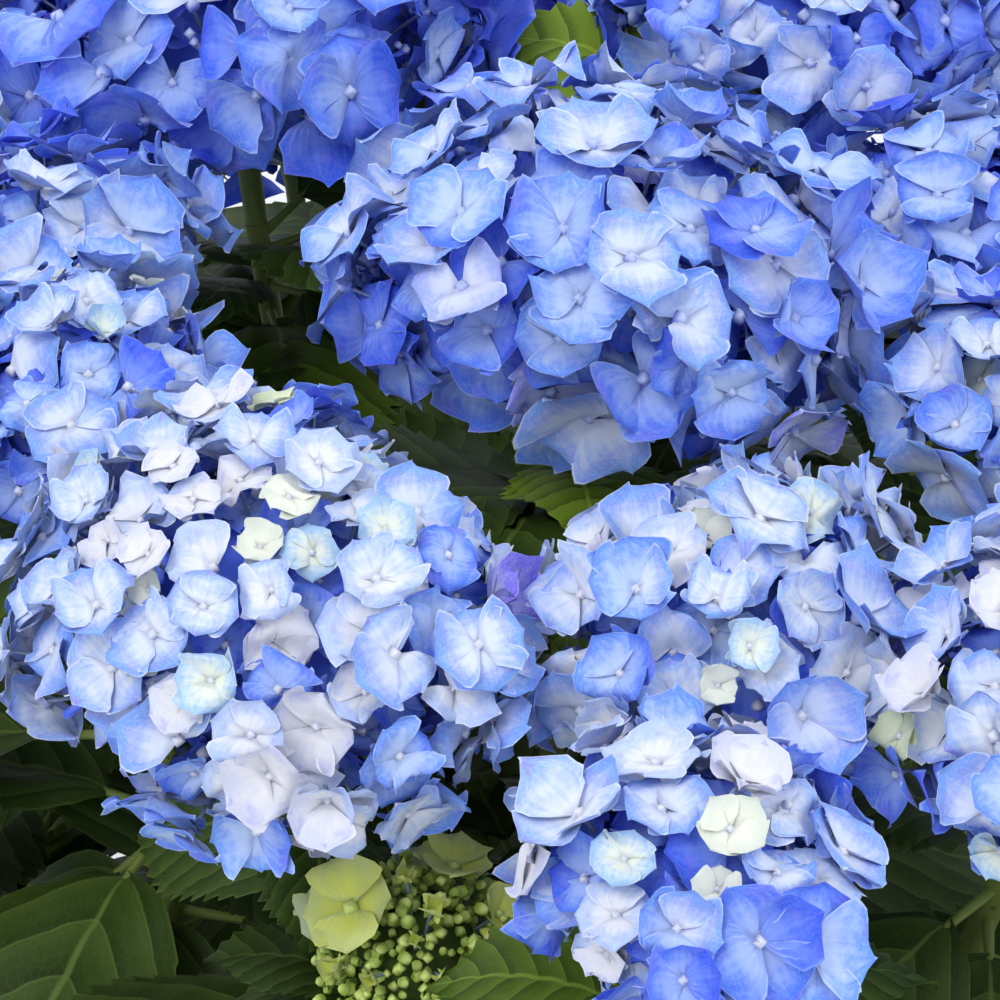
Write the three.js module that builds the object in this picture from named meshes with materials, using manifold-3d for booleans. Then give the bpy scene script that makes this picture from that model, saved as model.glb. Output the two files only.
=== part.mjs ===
// A compact mophead hydrangea in full bloom, rooted in the ground.
// One short root crown forks into eight woody canes. Each cane ends in a leafy green branch
// that forks again, and every shoot of it carries one round head of four-sepalled florets.
// Millimetres, +Z up, the front of the shrub towards -Y, the origin in the cut at ground level.
import * as THREE from "three";
import { ConvexHull } from "three/addons/math/ConvexHull.js";
import { mergeVertices } from "three/addons/utils/BufferGeometryUtils.js";
import Module from "manifold-3d";

const wasm = await Module();
wasm.setup();

// The crown: flower heads stand on a low dome round the shrub's axis.
const DOME_TOP = 655; // height of a head's middle on the axis
const DOME_FALL = 90; // how much lower a head stands at DOME_REACH
const DOME_REACH = 365;
const TILT_PER_MM = 0.075; // degrees that a head leans out for each mm from the axis

// A flower head, as shares of its own radius
const HEAD_UP = 0.62; // height above its middle
const HEAD_DOWN = 0.46; // depth below its middle
const HEAD_FOOT = 0.66; // from the middle down to the foot of its stalk
const HEAD_WRAP = 112; // degrees from the top down to which florets grow
const FLORET_SPREAD = 0.46; // of the way to the next floret that a sepal reaches
const FLORET_NOTCH = 0.62; // of a sepal's reach, between two sepals
const NOTCH_DEPTH = 0.13; // how far the skin falls between sepals
const EYE_DEPTH = 0.06; // and at a floret's eye
const FLORETS_PER_MM = 0.05; // of the head's width
const STALK_RADIUS = 4.2;

// Woody parts
const CROWN_FLARE = 52;
const CROWN_NECK = 39;
const CROWN_TOP = 82;
const CROWN_FORK = 34; // height of the point that all canes spread from
const CROWN_SEAT = 36; // from that point out to each cane's foot
const CANE_LEAN = 52; // degrees from upright at the foot
const CANE_FOOT_RADIUS = 8.5;
const CANE_TIP_RADIUS = 5.6;
const CANE_REACH = 168; // of the tips of the seven outer canes
const CANE_TIP_HEIGHT = 240;
const OUTER_CANES = 7;

// Leafy branches
const BRANCH_RADIUS = 5.2;
const SHOOT_RADIUS = 3.9;
const FORK_RISE = 26; // from a cane's tip up to the fork of its branch
const LEAF_LENGTH = 114;
const LEAF_WIDTH = 0.66; // of its length
const LEAF_STALK = 0.2; // of its length
const LEAF_DROOP = 0.42; // of its length, at the tip
const LEAF_FOLD = 0.08; // rise of the edge over the midrib, of the half width
const LEAF_RISE = 0.34; // towards the shoot's tip, for each part away from it
const LEAF_LEVEL = 0.75; // of its slope that is left once the leaf turns to the light
const LEAF_OUTWARD = 0.3; // how far it then turns away from the shrub's axis
const PAIRS_ON_SHOOT = [0.42, 0.8]; // along the shoot
const SKIRT_SHOOTS = 2; // low shoots with no head on each outer branch
const SKIRT_PAIRS = [0.5, 0.96];
const SKIRT_REACH = 330;
const SKIRT_HEIGHT = 200;
// A leaf that would touch something is tried again, turned (in degrees) and shortened.
const LEAF_TRIES = [[0, 1], [28, 1], [-28, 1], [0, 0.8], [35, 0.8], [-35, 0.8], [0, 0.62]];

const GAP = 0.3; // between pieces that meet
const CLEARANCE = 0.6; // between leaves of different branches

const radians = THREE.MathUtils.degToRad;
const up = new THREE.Vector3(0, 0, 1);
const GOLDEN_TURN = Math.PI * (3 - Math.sqrt(5));

// Heads on the side that is seen, by place in plan, with their lift over the dome.
const seenHeads = [
  { name: "back_left", x: -94, y: 68, lift: 6, width: 194, colour: "deep" },
  { name: "back_right", x: 98, y: 55, lift: 14, width: 154, colour: "mid" },
  { name: "centre", x: 25, y: -126, lift: -12, width: 192, colour: "mid" },
  { name: "right", x: 160, y: -42, lift: -16, width: 124, colour: "mid" },
  { name: "left", x: -152, y: -66, lift: -20, width: 124, colour: "mid" },
  { name: "left_low", x: -122, y: -165, lift: -14, width: 114, colour: "mid" },
  { name: "right_mid", x: 163, y: -155, lift: -14, width: 108, colour: "mid" },
  { name: "front_left", x: -57, y: -266, lift: -12, width: 162, colour: "pale" },
  { name: "front_right", x: 58, y: -270, lift: -7, width: 120, colour: "pale" },
  { name: "far_right", x: 150, y: -302, lift: 5, width: 122, colour: "pale" },
  { name: "low", x: 46, y: -364, lift: 2, width: 94, colour: "pale" },
  { name: "young", x: -22, y: -308, lift: -76, width: 54, colour: "lime" },
];

// Leaves that show between those heads, by shoot: how far along it each one grows, its
// bearing and rise in degrees, and its length.
const seenLeaves = {
  back_left: [
    [0.86, 335, 6, 116],
    [0.86, 150, 0, 110],
    [0.62, 255, -8, 116],
    [0.45, 60, 0, 110],
  ],
  back_right: [
    [0.84, 205, 8, 112],
    [0.84, 30, 0, 108],
    [0.6, 300, -8, 110],
    [0.45, 120, 0, 110],
  ],
  centre: [
    [0.9, 200, -8, 100],
    [0.88, 340, 4, 96],
    [0.8, 100, 12, 112],
    [0.66, 250, -14, 118],
  ],
  left_low: [
    [0.72, 186, 4, 128],
    [0.62, 240, -24, 130],
    [0.5, 330, -10, 112],
    [0.5, 80, 24, 100],
  ],
  front_left: [
    [0.8, 138, 8, 74],
    [0.8, 344, -6, 104],
    [0.56, 262, -34, 124],
    [0.56, 92, 24, 104],
  ],
  front_right: [
    [0.7, 195, -4, 88],
    [0.8, 8, 6, 108],
    [0.5, 285, -30, 120],
    [0.5, 100, 20, 100],
  ],
};

// Rings that carry on round the sides and back in the same spacing.
const rings = [
  { name: "inner", reach: 242, lift: 0, from: 12, step: 41, count: 5, width: 144 },
  { name: "outer", reach: 372, lift: -22, from: -35, step: 28, count: 10, width: 148 },
  { name: "skirt", reach: 392, lift: -165, from: -128, step: 66, count: 5, width: 118 },
];
const ringColours = ["mid", "pale", "mid", "deep"];

// The same row of numbers from 0 to 1 for the same seed.
function seeded(seed) {
  let state = seed * 7919 + 17;
  return () => {
    state = (state * 16807) % 2147483647;
    return state / 2147483647;
  };
}

function polar(bearing, reach, z = 0) {
  const b = radians(bearing);
  return new THREE.Vector3(Math.cos(b) * reach, Math.sin(b) * reach, z);
}

function leaning(bearing, lean) {
  return polar(bearing, Math.sin(radians(lean)), Math.cos(radians(lean)));
}

function domeHeight(reach) {
  return DOME_TOP - DOME_FALL * (reach / DOME_REACH) ** 2;
}

function makeHead({ name, x, y, lift, width, colour }) {
  const reach = Math.hypot(x, y);
  const bearing = THREE.MathUtils.radToDeg(Math.atan2(y, x));
  const radius = width / 2;
  const lean = reach * TILT_PER_MM - lift * 0.12;
  const axis = leaning(bearing, Math.max(lean, 0));
  const middle = new THREE.Vector3(x, y, domeHeight(reach) + lift);
  const foot = middle.clone().addScaledVector(axis, -HEAD_FOOT * radius);
  return { name, colour, reach, bearing, radius, axis, middle, foot };
}

function ringHeads({ name, reach, lift, from, step, count, width }) {
  return Array.from({ length: count }, (_, i) => {
    const random = seeded(reach + i);
    const place = polar(from + step * i, reach + 24 * (random() - 0.5));
    return makeHead({
      name: `${name}_${i + 1}`,
      x: place.x,
      y: place.y,
      lift: lift + 30 * (random() - 0.5),
      width: width * (0.88 + 0.24 * random()),
      colour: ringColours[(i + count) % ringColours.length],
    });
  });
}

// Two unit vectors square to an axis and to each other.
function across(axis) {
  const side = Math.abs(axis.z) > 0.95 ? new THREE.Vector3(1, 0, 0) : up;
  const a = new THREE.Vector3().crossVectors(side, axis).normalize();
  return [a, new THREE.Vector3().crossVectors(axis, a)];
}

function solidFromGeometry(geometry) {
  const bare = new THREE.BufferGeometry();
  bare.setAttribute("position", geometry.getAttribute("position"));
  bare.setIndex(geometry.index);
  const merged = mergeVertices(bare, 1e-4);
  return new wasm.Manifold(
    new wasm.Mesh({
      numProp: 3,
      vertProperties: merged.attributes.position.array,
      triVerts: new Uint32Array(merged.index.array),
    }),
  );
}

function geometryFromSolid(solid) {
  const mesh = solid.getMesh();
  const geometry = new THREE.BufferGeometry();
  const position = new THREE.BufferAttribute(mesh.vertProperties, 3);
  geometry.setAttribute("position", position);
  geometry.setIndex(new THREE.BufferAttribute(mesh.triVerts, 1));
  geometry.computeVertexNormals();
  return geometry;
}

function solidFromFaces(points, faces) {
  const geometry = new THREE.BufferGeometry().setFromPoints(points);
  geometry.setIndex(faces.flat());
  return solidFromGeometry(geometry);
}

// A closed skin over rings of equal length, each turned the same way as seen from its end.
// A last ring of one point closes to a tip.
function loft(ringsOfPoints) {
  const n = ringsOfPoints[0].length;
  const points = ringsOfPoints.flat();
  const faces = [];
  for (let i = 1; i < n - 1; i++) faces.push([0, i + 1, i]);
  for (let r = 0; r + 1 < ringsOfPoints.length; r++) {
    const toTip = ringsOfPoints[r + 1].length === 1;
    for (let i = 0; i < n; i++) {
      const j = (i + 1) % n;
      const [a, b] = [r * n + i, r * n + j];
      if (toTip) faces.push([a, b, (r + 1) * n]);
      else faces.push([a, b, b + n], [a, b + n, a + n]);
    }
  }
  if (ringsOfPoints.at(-1).length > 1) {
    const last = points.length - n;
    for (let i = 1; i < n - 1; i++) faces.push([last, last + i, last + i + 1]);
  }
  return solidFromFaces(points, faces);
}

// A round limb that tapers evenly along a curve, with a flat cut at each end.
function limb(curve, footRadius, tipRadius, sides, spans) {
  let [a, b] = across(curve.getTangent(0));
  const cuts = [];
  for (let s = 0; s <= spans; s++) {
    const t = s / spans;
    const tangent = curve.getTangent(t);
    a = a.clone().addScaledVector(tangent, -a.dot(tangent)).normalize();
    b = new THREE.Vector3().crossVectors(tangent, a);
    const middle = curve.getPoint(t);
    const radius = footRadius + (tipRadius - footRadius) * t;
    const cut = [];
    for (let i = 0; i < sides; i++) {
      const turn = (i / sides) * 2 * Math.PI;
      cut.push(
        middle
          .clone()
          .addScaledVector(a, Math.cos(turn) * radius)
          .addScaledVector(b, Math.sin(turn) * radius),
      );
    }
    cuts.push(cut);
  }
  return loft(cuts);
}

// A direction from a head's middle, by the angle from its top and the turn round its axis.
function towards(angle, turn) {
  return new THREE.Vector3().setFromSphericalCoords(1, angle, turn);
}

// Four-pointed florets in a golden-angle spiral from the top of a head: an eye, four tips
// and four notches each, all as points on a unit ball that know how far out they stand.
function floretPoints(count, random) {
  const lowest = Math.cos(radians(HEAD_WRAP));
  const apart = Math.sqrt((2 * Math.PI * (1 - lowest)) / count);
  const points = [];
  for (let i = 0; i < count; i++) {
    const angle = Math.acos(1 - ((1 - lowest) * (i + 0.5)) / count);
    const eye = towards(angle, i * GOLDEN_TURN);
    const [a, b] = across(eye);
    const spin = random() * Math.PI;
    const size = apart * FLORET_SPREAD * (0.92 + 0.16 * random());
    points.push({ at: eye, out: 1 - EYE_DEPTH });
    for (let k = 0; k < 8; k++) {
      const reach = size * (k % 2 ? FLORET_NOTCH : 1);
      const around = spin + (k * Math.PI) / 4;
      const at = eye
        .clone()
        .addScaledVector(a, Math.cos(around) * reach)
        .addScaledVector(b, Math.sin(around) * reach);
      points.push({ at: at.normalize(), out: k % 2 ? 1 - NOTCH_DEPTH : 1 });
    }
  }
  return points;
}

// The skin of a head: its points joined as their convex hull joins them, then moved out.
function headSkin(head, random) {
  const count = Math.round(head.radius * 2 * FLORETS_PER_MM) + 3;
  const points = floretPoints(count, random);
  for (let i = 0; i < 6; i++) points.push({ at: towards(radians(146), i * radians(60)), out: 0.8 });
  const order = new Map(points.map(({ at }, i) => [at, i]));
  const faces = new ConvexHull().setFromPoints(points.map(({ at }) => at)).faces.map((face) => {
    const edges = [face.edge, face.edge.next, face.edge.prev];
    return edges.map((edge) => order.get(edge.head().point));
  });
  const [a, b] = across(head.axis);
  const placed = points.map(({ at, out }) => {
    const height = (at.y > 0 ? HEAD_UP : HEAD_DOWN) * head.radius;
    return head.middle
      .clone()
      .addScaledVector(a, at.x * out * head.radius)
      .addScaledVector(b, at.z * out * head.radius)
      .addScaledVector(head.axis, at.y * out * height);
  });
  const skin = solidFromFaces(placed, faces);
  return skin.volume() > 0 ? skin : solidFromFaces(placed, faces.map((face) => face.reverse()));
}

function bloomSolid(head, neighbours) {
  const random = seeded(Math.round(head.middle.x + 3 * head.middle.y + 5000));
  const stalkTop = head.middle.clone().addScaledVector(head.axis, -0.2 * head.radius);
  const stalk = new THREE.LineCurve3(head.foot, stalkTop);
  let bloom = headSkin(head, random).add(limb(stalk, STALK_RADIUS, STALK_RADIUS * 1.2, 5, 1));
  // Where two heads touch, each keeps to its own side of the plane between them.
  for (const other of neighbours) {
    const away = other.middle.clone().sub(head.middle);
    const between = away.length();
    const share = head.radius / (head.radius + other.radius);
    away.normalize();
    const limit = head.middle.dot(away) + between * share - GAP / 2;
    bloom = bloom.trimByPlane([-away.x, -away.y, -away.z], -limit);
  }
  return largest(bloom).simplify(0.1);
}

function largest(solid) {
  const bodies = solid.decompose();
  bodies.sort((p, q) => q.volume() - p.volume());
  return bodies[0];
}

// A leaf from a stem: its stalk starts on the stem's axis, and its blade droops to the tip.
// Each cut across it is a shallow V: two edges over a midrib.
function leafCuts({ root, direction, length }) {
  const side = new THREE.Vector3().crossVectors(direction, up).normalize();
  const at = (along, half, keel) => {
    const t = Math.max(along - LEAF_STALK, 0);
    const rib = root
      .clone()
      .addScaledVector(direction, along * length)
      .addScaledVector(up, -LEAF_DROOP * t * t * length);
    const edge = (sign) =>
      rib
        .clone()
        .addScaledVector(side, sign * half * length)
        .addScaledVector(up, LEAF_FOLD * half * length + keel);
    return [edge(1), rib.clone().addScaledVector(up, -keel), edge(-1)];
  };
  const half = LEAF_WIDTH / 2;
  return [
    at(0, 0.016, 1.5),
    at(LEAF_STALK, 0.016, 1.2),
    at(LEAF_STALK + 0.16, half * 0.86, 0.7),
    at(LEAF_STALK + 0.5, half * 0.86, 0.6),
    [at(LEAF_STALK + 1, 0, 0)[1]],
  ];
}

// A shoot from a fork to the foot of its head, arriving along the head's axis.
function shootCurve(fork, tip, axis) {
  const pull = fork.distanceTo(tip) * 0.5;
  return new THREE.QuadraticBezierCurve3(fork, tip.clone().addScaledVector(axis, -pull), tip);
}

// Pairs of leaves stand across the stem, each pair turned a quarter from the last.
function leavesAlong(curve, pairs, random) {
  return pairs.flatMap((t, k) => {
    const root = curve.getPoint(t);
    const axis = curve.getTangent(t);
    const outward = new THREE.Vector3(root.x, root.y, 0).normalize();
    const [a, b] = across(axis);
    const first = (k % 2) * 90 + random() * 50;
    return [first, first + 180].map((turn) => {
      const direction = a
        .clone()
        .multiplyScalar(Math.cos(radians(turn)))
        .addScaledVector(b, Math.sin(radians(turn)))
        .addScaledVector(axis, LEAF_RISE);
      direction.z *= LEAF_LEVEL;
      direction.addScaledVector(outward, LEAF_OUTWARD).normalize();
      return { root, axis, direction, length: LEAF_LENGTH * (0.84 + 0.3 * random()) };
    });
  });
}

function leafAsSet(curve, [along, bearing, rise, length]) {
  return { root: curve.getPoint(along), axis: up, direction: leaning(bearing, 90 - rise), length };
}

// The leaf as it is grown on a given try.
function leafOnTry({ root, axis, direction, length }, [turned, shortened]) {
  const turnedWay = direction.clone().applyAxisAngle(axis, radians(turned));
  return { root, direction: turnedWay, length: length * shortened };
}

function makeCanes() {
  const fork = new THREE.Vector3(0, 0, CROWN_FORK);
  const canes = [];
  for (let i = 0; i <= OUTER_CANES; i++) {
    const middle = i === OUTER_CANES;
    const bearing = -90 + (i * 360) / OUTER_CANES;
    const axis = middle ? up.clone() : leaning(bearing, CANE_LEAN);
    const foot = fork.clone().addScaledVector(axis, CROWN_SEAT + GAP);
    const tip = middle
      ? new THREE.Vector3(6, -8, CANE_TIP_HEIGHT + 40)
      : polar(bearing, CANE_REACH, CANE_TIP_HEIGHT);
    const bend = foot.clone().addScaledVector(axis, middle ? 90 : 105);
    const curve = new THREE.QuadraticBezierCurve3(foot, bend, tip);
    canes.push({ name: middle ? "middle" : `${i + 1}`, middle, bearing, axis, curve, tip });
  }
  return canes;
}

// The short woody crown at the ground: flared, with a swelling below each outer cane, and with
// a flat seat cut for each cane.
function rootCrown(canes) {
  const sides = OUTER_CANES * 3;
  const cut = (height, radius, swelling) =>
    Array.from({ length: sides }, (_, i) => {
      const out = radius * (1 + swelling * Math.cos((i / 3) * 2 * Math.PI));
      return polar(-90 + (i / sides) * 360, out, height);
    });
  let crown = loft([
    cut(0, CROWN_FLARE, 0.12),
    cut(10, CROWN_FLARE * 0.84, 0.13),
    cut(28, CROWN_NECK, 0.08),
    cut(CROWN_TOP, CROWN_NECK, 0.04),
  ]);
  for (const { axis } of canes) {
    const seat = axis.z * CROWN_FORK + CROWN_SEAT;
    crown = crown.trimByPlane([-axis.x, -axis.y, -axis.z], -seat);
  }
  return crown;
}

function angleApart(p, q) {
  return Math.abs(((p - q + 540) % 360) - 180);
}

function caneOf(head, canes) {
  if (head.reach < 175) return canes.at(-1);
  const outer = canes.filter((cane) => !cane.middle);
  const apart = (cane) => angleApart(cane.bearing, head.bearing);
  return outer.reduce((best, cane) => (apart(cane) < apart(best) ? cane : best));
}

// The stems of a cane's green branch: a short stem, one shoot to each head, and low shoots.
function branchStems(cane, heads, index) {
  const random = seeded(400 + index);
  const away = cane.curve.getTangent(1);
  const foot = cane.tip.clone().addScaledVector(away, GAP);
  const fork = foot.clone().addScaledVector(away, FORK_RISE);
  const stem = limb(new THREE.LineCurve3(foot, fork), BRANCH_RADIUS, BRANCH_RADIUS, 6, 1);
  const root = foot.clone().addScaledVector(away, FORK_RISE * 0.7);
  const stems = [stem];
  const leaves = [];
  for (const head of heads) {
    const tip = head.foot.clone().addScaledVector(head.axis, -GAP);
    const curve = shootCurve(root, tip, head.axis);
    stems.push(limb(curve, SHOOT_RADIUS, STALK_RADIUS, 4, 3));
    const set = seenLeaves[head.name];
    if (set) leaves.push(...set.map((leaf) => leafAsSet(curve, leaf)));
    else leaves.push(...leavesAlong(curve, PAIRS_ON_SHOOT, random));
  }
  if (!cane.middle) {
    for (let i = 0; i < SKIRT_SHOOTS; i++) {
      const bearing = cane.bearing + (i - 0.5) * 25 + 6 * (random() - 0.5);
      const tip = polar(bearing, SKIRT_REACH, SKIRT_HEIGHT + 60 * (i % 2));
      const curve = shootCurve(root, tip, leaning(bearing, 75));
      stems.push(limb(curve, SHOOT_RADIUS, SHOOT_RADIUS * 0.7, 4, 3));
      leaves.push(...leavesAlong(curve, SKIRT_PAIRS, random));
    }
  }
  return { stems: wasm.Manifold.union(stems), leaves };
}

function boxesMeet(p, q, margin) {
  const [a, b] = [p.boundingBox(), q.boundingBox()];
  return [0, 1, 2].every(
    (i) => a.min[i] - margin < b.max[i] && b.min[i] - margin < a.max[i],
  );
}

function clearOf(solid, others) {
  return others.every(
    (other) => !boxesMeet(solid, other, CLEARANCE) || solid.minGap(other, CLEARANCE) >= CLEARANCE,
  );
}

const finishes = {
  bark: { color: 0x7a6650, roughness: 0.92, metalness: 0 },
  foliage: { color: 0x3d6b2c, roughness: 0.5, metalness: 0 },
  deep: { color: 0x4a6fe0, roughness: 0.6, metalness: 0 },
  mid: { color: 0x7fa6f0, roughness: 0.6, metalness: 0 },
  pale: { color: 0xc3d3f6, roughness: 0.6, metalness: 0 },
  lime: { color: 0xbccb5a, roughness: 0.6, metalness: 0 },
};

function addPiece(group, name, solid, finish) {
  const material = new THREE.MeshStandardMaterial(finishes[finish]);
  const mesh = new THREE.Mesh(geometryFromSolid(solid), material);
  mesh.name = name;
  group.add(mesh);
}

function hydrangea() {
  const shrub = new THREE.Group();
  const heads = [...seenHeads.map(makeHead), ...rings.flatMap(ringHeads)];
  const canes = makeCanes();

  const crown = rootCrown(canes);
  addPiece(shrub, "root_crown", crown, "bark");
  const woody = [crown];
  for (const cane of canes) {
    const solid = limb(cane.curve, CANE_FOOT_RADIUS, CANE_TIP_RADIUS, 7, 5);
    addPiece(shrub, `cane_${cane.name}`, solid, "bark");
    woody.push(solid);
  }

  const blooms = heads.map((head) => {
    const near = heads.filter(
      (other) =>
        other !== head &&
        other.middle.distanceTo(head.middle) < (other.radius + head.radius) * 1.45,
    );
    return bloomSolid(head, near);
  });
  heads.forEach((head, i) => addPiece(shrub, `bloom_${head.name}`, blooms[i], head.colour));

  const branches = canes.map((cane, i) =>
    branchStems(
      cane,
      heads.filter((head) => caneOf(head, canes) === cane),
      i,
    ),
  );
  const grown = branches.map((branch) => branch.stems);
  branches.forEach((branch, i) => {
    const others = [...blooms, ...woody, ...grown.filter((_, j) => j !== i)];
    for (const leaf of branch.leaves) {
      const grows = LEAF_TRIES.map((change) => leafCuts(leafOnTry(leaf, change))).find(
        ([foot, ...blade]) =>
          clearOf(loft(blade), [grown[i]]) && clearOf(loft([foot, ...blade]), others),
      );
      if (grows) grown[i] = grown[i].add(loft(grows));
    }
    addPiece(shrub, `branch_${canes[i].name}`, largest(grown[i]).simplify(0.1), "foliage");
  });
  return shrub;
}

export default hydrangea();
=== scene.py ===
import math
import time

import bpy
import numpy as np
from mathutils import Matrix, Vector


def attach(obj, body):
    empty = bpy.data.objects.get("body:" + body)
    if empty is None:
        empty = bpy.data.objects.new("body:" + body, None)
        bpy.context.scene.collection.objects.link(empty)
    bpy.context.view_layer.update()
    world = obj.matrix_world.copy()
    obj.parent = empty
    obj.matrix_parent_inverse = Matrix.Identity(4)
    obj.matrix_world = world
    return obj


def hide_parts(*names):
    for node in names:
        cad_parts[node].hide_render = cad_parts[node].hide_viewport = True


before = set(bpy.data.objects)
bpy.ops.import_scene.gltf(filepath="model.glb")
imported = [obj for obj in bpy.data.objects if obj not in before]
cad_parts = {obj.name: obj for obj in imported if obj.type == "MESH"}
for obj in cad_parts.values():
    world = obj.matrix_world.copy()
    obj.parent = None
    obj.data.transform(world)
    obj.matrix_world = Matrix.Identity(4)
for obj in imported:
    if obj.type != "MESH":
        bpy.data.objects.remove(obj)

# A mophead hydrangea, grown on the solids' own frame: the same heads, canes, shoots and
# leaves, carried on to florets, veined leaves, buds and bark. Lengths are metres here, and
# the growing rule works in millimetres as the solids do.
started = time.time()
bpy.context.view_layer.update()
scene = bpy.context.scene
mm = 0.001
golden = math.pi * (3 - math.sqrt(5))
upward = np.array([0, 0, 1.0])
pieces = {}


def tell(words):
    print(f"[{time.time() - started:5.1f} s] {words}", flush=True)


# Vectors and meshes.
def unit(v):
    v = np.asarray(v, float)
    return v / np.maximum(np.linalg.norm(v, axis=-1, keepdims=True), 1e-12)


def polar(bearing, reach, z=0.0):
    b = math.radians(bearing)
    return np.array([math.cos(b) * reach, math.sin(b) * reach, z])


def leaning(bearing, lean):
    return polar(bearing, math.sin(math.radians(lean)), math.cos(math.radians(lean)))


# Two unit vectors square to an axis and to each other, for one axis or a row of them.
def across(axis):
    axis = np.asarray(axis, float)
    steep = np.abs(axis[..., 2:3]) > 0.95
    a = unit(np.cross(np.where(steep, np.array([1.0, 0, 0]), upward), axis))
    return a, np.cross(axis, a)


# The direction at an angle about an axis: one side by its cosine, the other by its sine.
def about(axis, angle):
    a, b = across(axis)
    return a * np.cos(angle)[..., None] + b * np.sin(angle)[..., None]


# The same row of numbers from 0 to 1 as the solids' rule draws for the same seed.
class Seeded:
    def __init__(self, seed):
        self.state = seed * 7919 + 17

    def __call__(self):
        self.state = self.state * 16807 % 2147483647
        return self.state / 2147483647


class Bezier:
    def __init__(self, foot, bend, tip):
        self.foot, self.bend, self.tip = (np.asarray(p, float) for p in (foot, bend, tip))

    def point(self, t):
        t = np.asarray(t, float)[..., None]
        return (1 - t) ** 2 * self.foot + 2 * t * (1 - t) * self.bend + t * t * self.tip

    def tangent(self, t):
        t = np.asarray(t, float)[..., None]
        return unit((1 - t) * (self.bend - self.foot) + t * (self.tip - self.bend))


# One mesh object from arrays: points in millimetres, quads, a paint, and a map named OFBake.
def meshPiece(name, points, quads, paint, uv=None):
    mesh = bpy.data.meshes.new(name)
    mesh.from_pydata(points.reshape(-1, 3) * mm, [], quads, shade_flat=False)
    if uv is not None:
        flat = np.asarray(uv, dtype=np.float32).reshape(-1, 2)[quads.ravel()]
        mesh.uv_layers.new(name="OFBake").data.foreach_set("uv", flat.ravel())
    mesh.validate()
    mesh.materials.append(paint)
    pieces[name] = bpy.data.objects.new(name, mesh)
    scene.collection.objects.link(pieces[name])
    tell(f"{name}: {len(quads) * 2} triangles")


# Quads over many equal grids laid one after another, each rows by columns of points.
def gridFaces(grids, rows, columns, closed=False):
    steps = columns if closed else columns - 1
    r, c = np.meshgrid(np.arange(rows - 1), np.arange(steps), indexing="ij")
    d = (c + 1) % columns
    quad = np.stack([r * columns + c, r * columns + d, (r + 1) * columns + d, (r + 1) * columns + c], -1)
    return (quad.reshape(1, -1, 4) + (np.arange(grids) * rows * columns)[:, None, None]).reshape(-1, 4)


def gridPiece(name, grid, paint, uv=None, closed=True):
    meshPiece(name, grid, gridFaces(*grid.shape[:3], closed), paint, uv)


# Half way round and back, from -1 to 1 to -1, so that a pattern meets itself round a tube.
def mirrored(columns):
    return 1 - 2 * np.abs(1 - 2 * np.arange(columns) / columns)


# Round tubes along rows of points, (tubes, rows, 3), with a radius for each row.
def tubeGrid(middles, radii, sides):
    radii = np.broadcast_to(radii, middles.shape[:2])
    tangents = unit(np.gradient(middles, axis=1))
    a, b = across(tangents[:, 0])
    around = np.linspace(0, 2 * math.pi, sides, endpoint=False)
    rows = []
    for r in range(middles.shape[1]):
        t = tangents[:, r]
        a = unit(a - t * np.sum(a * t, -1, keepdims=True))
        b = np.cross(t, a)
        ring = a[:, None] * np.cos(around)[None, :, None] + b[:, None] * np.sin(around)[None, :, None]
        rows.append(middles[:, r, None] + ring * radii[:, r, None, None])
    return np.stack(rows, 1)


# Tiles of the map: each tone has its own, so pieces that lie over each other there share
# it, with u along them from 0 to 1 and v across them from -1 to 1.
tileMargin = 0.05


def tilePlace(tones, tiles, u, v):
    tones = np.asarray(tones)[..., None, None]
    inner = 1 - 2 * tileMargin
    x = (tones % tiles[0] + tileMargin + inner * (0.5 + 0.5 * v)) / tiles[0]
    y = (tones // tiles[0] + tileMargin + inner * u[:, None]) / tiles[1]
    return np.stack(np.broadcast_arrays(x, y), -1)


# Tubes or balls as one piece, each in the tile of its tone.
def roundPiece(name, grid, paint, tones=0, tiles=(2, 2)):
    count, rows, sides = grid.shape[:3]
    uv = tilePlace(np.broadcast_to(tones, count), tiles, np.linspace(0, 1, rows), mirrored(sides))
    gridPiece(name, grid, paint, uv)


# Materials.
# A value in a shader: sums and products of values make its nodes.
class Value:
    def __init__(self, shader, socket):
        self.shader, self.socket = shader, socket

    def __add__(self, other):
        return self.shader.math("ADD", self, other)

    def __sub__(self, other):
        return self.shader.math("SUBTRACT", self, other)

    def __rsub__(self, other):
        return self.shader.math("SUBTRACT", other, self)

    def __mul__(self, other):
        return self.shader.math("MULTIPLY", self, other)

    def __pow__(self, other):
        return self.shader.math("POWER", self, other)

    def __abs__(self):
        return self.shader.math("ABSOLUTE", self)


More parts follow.
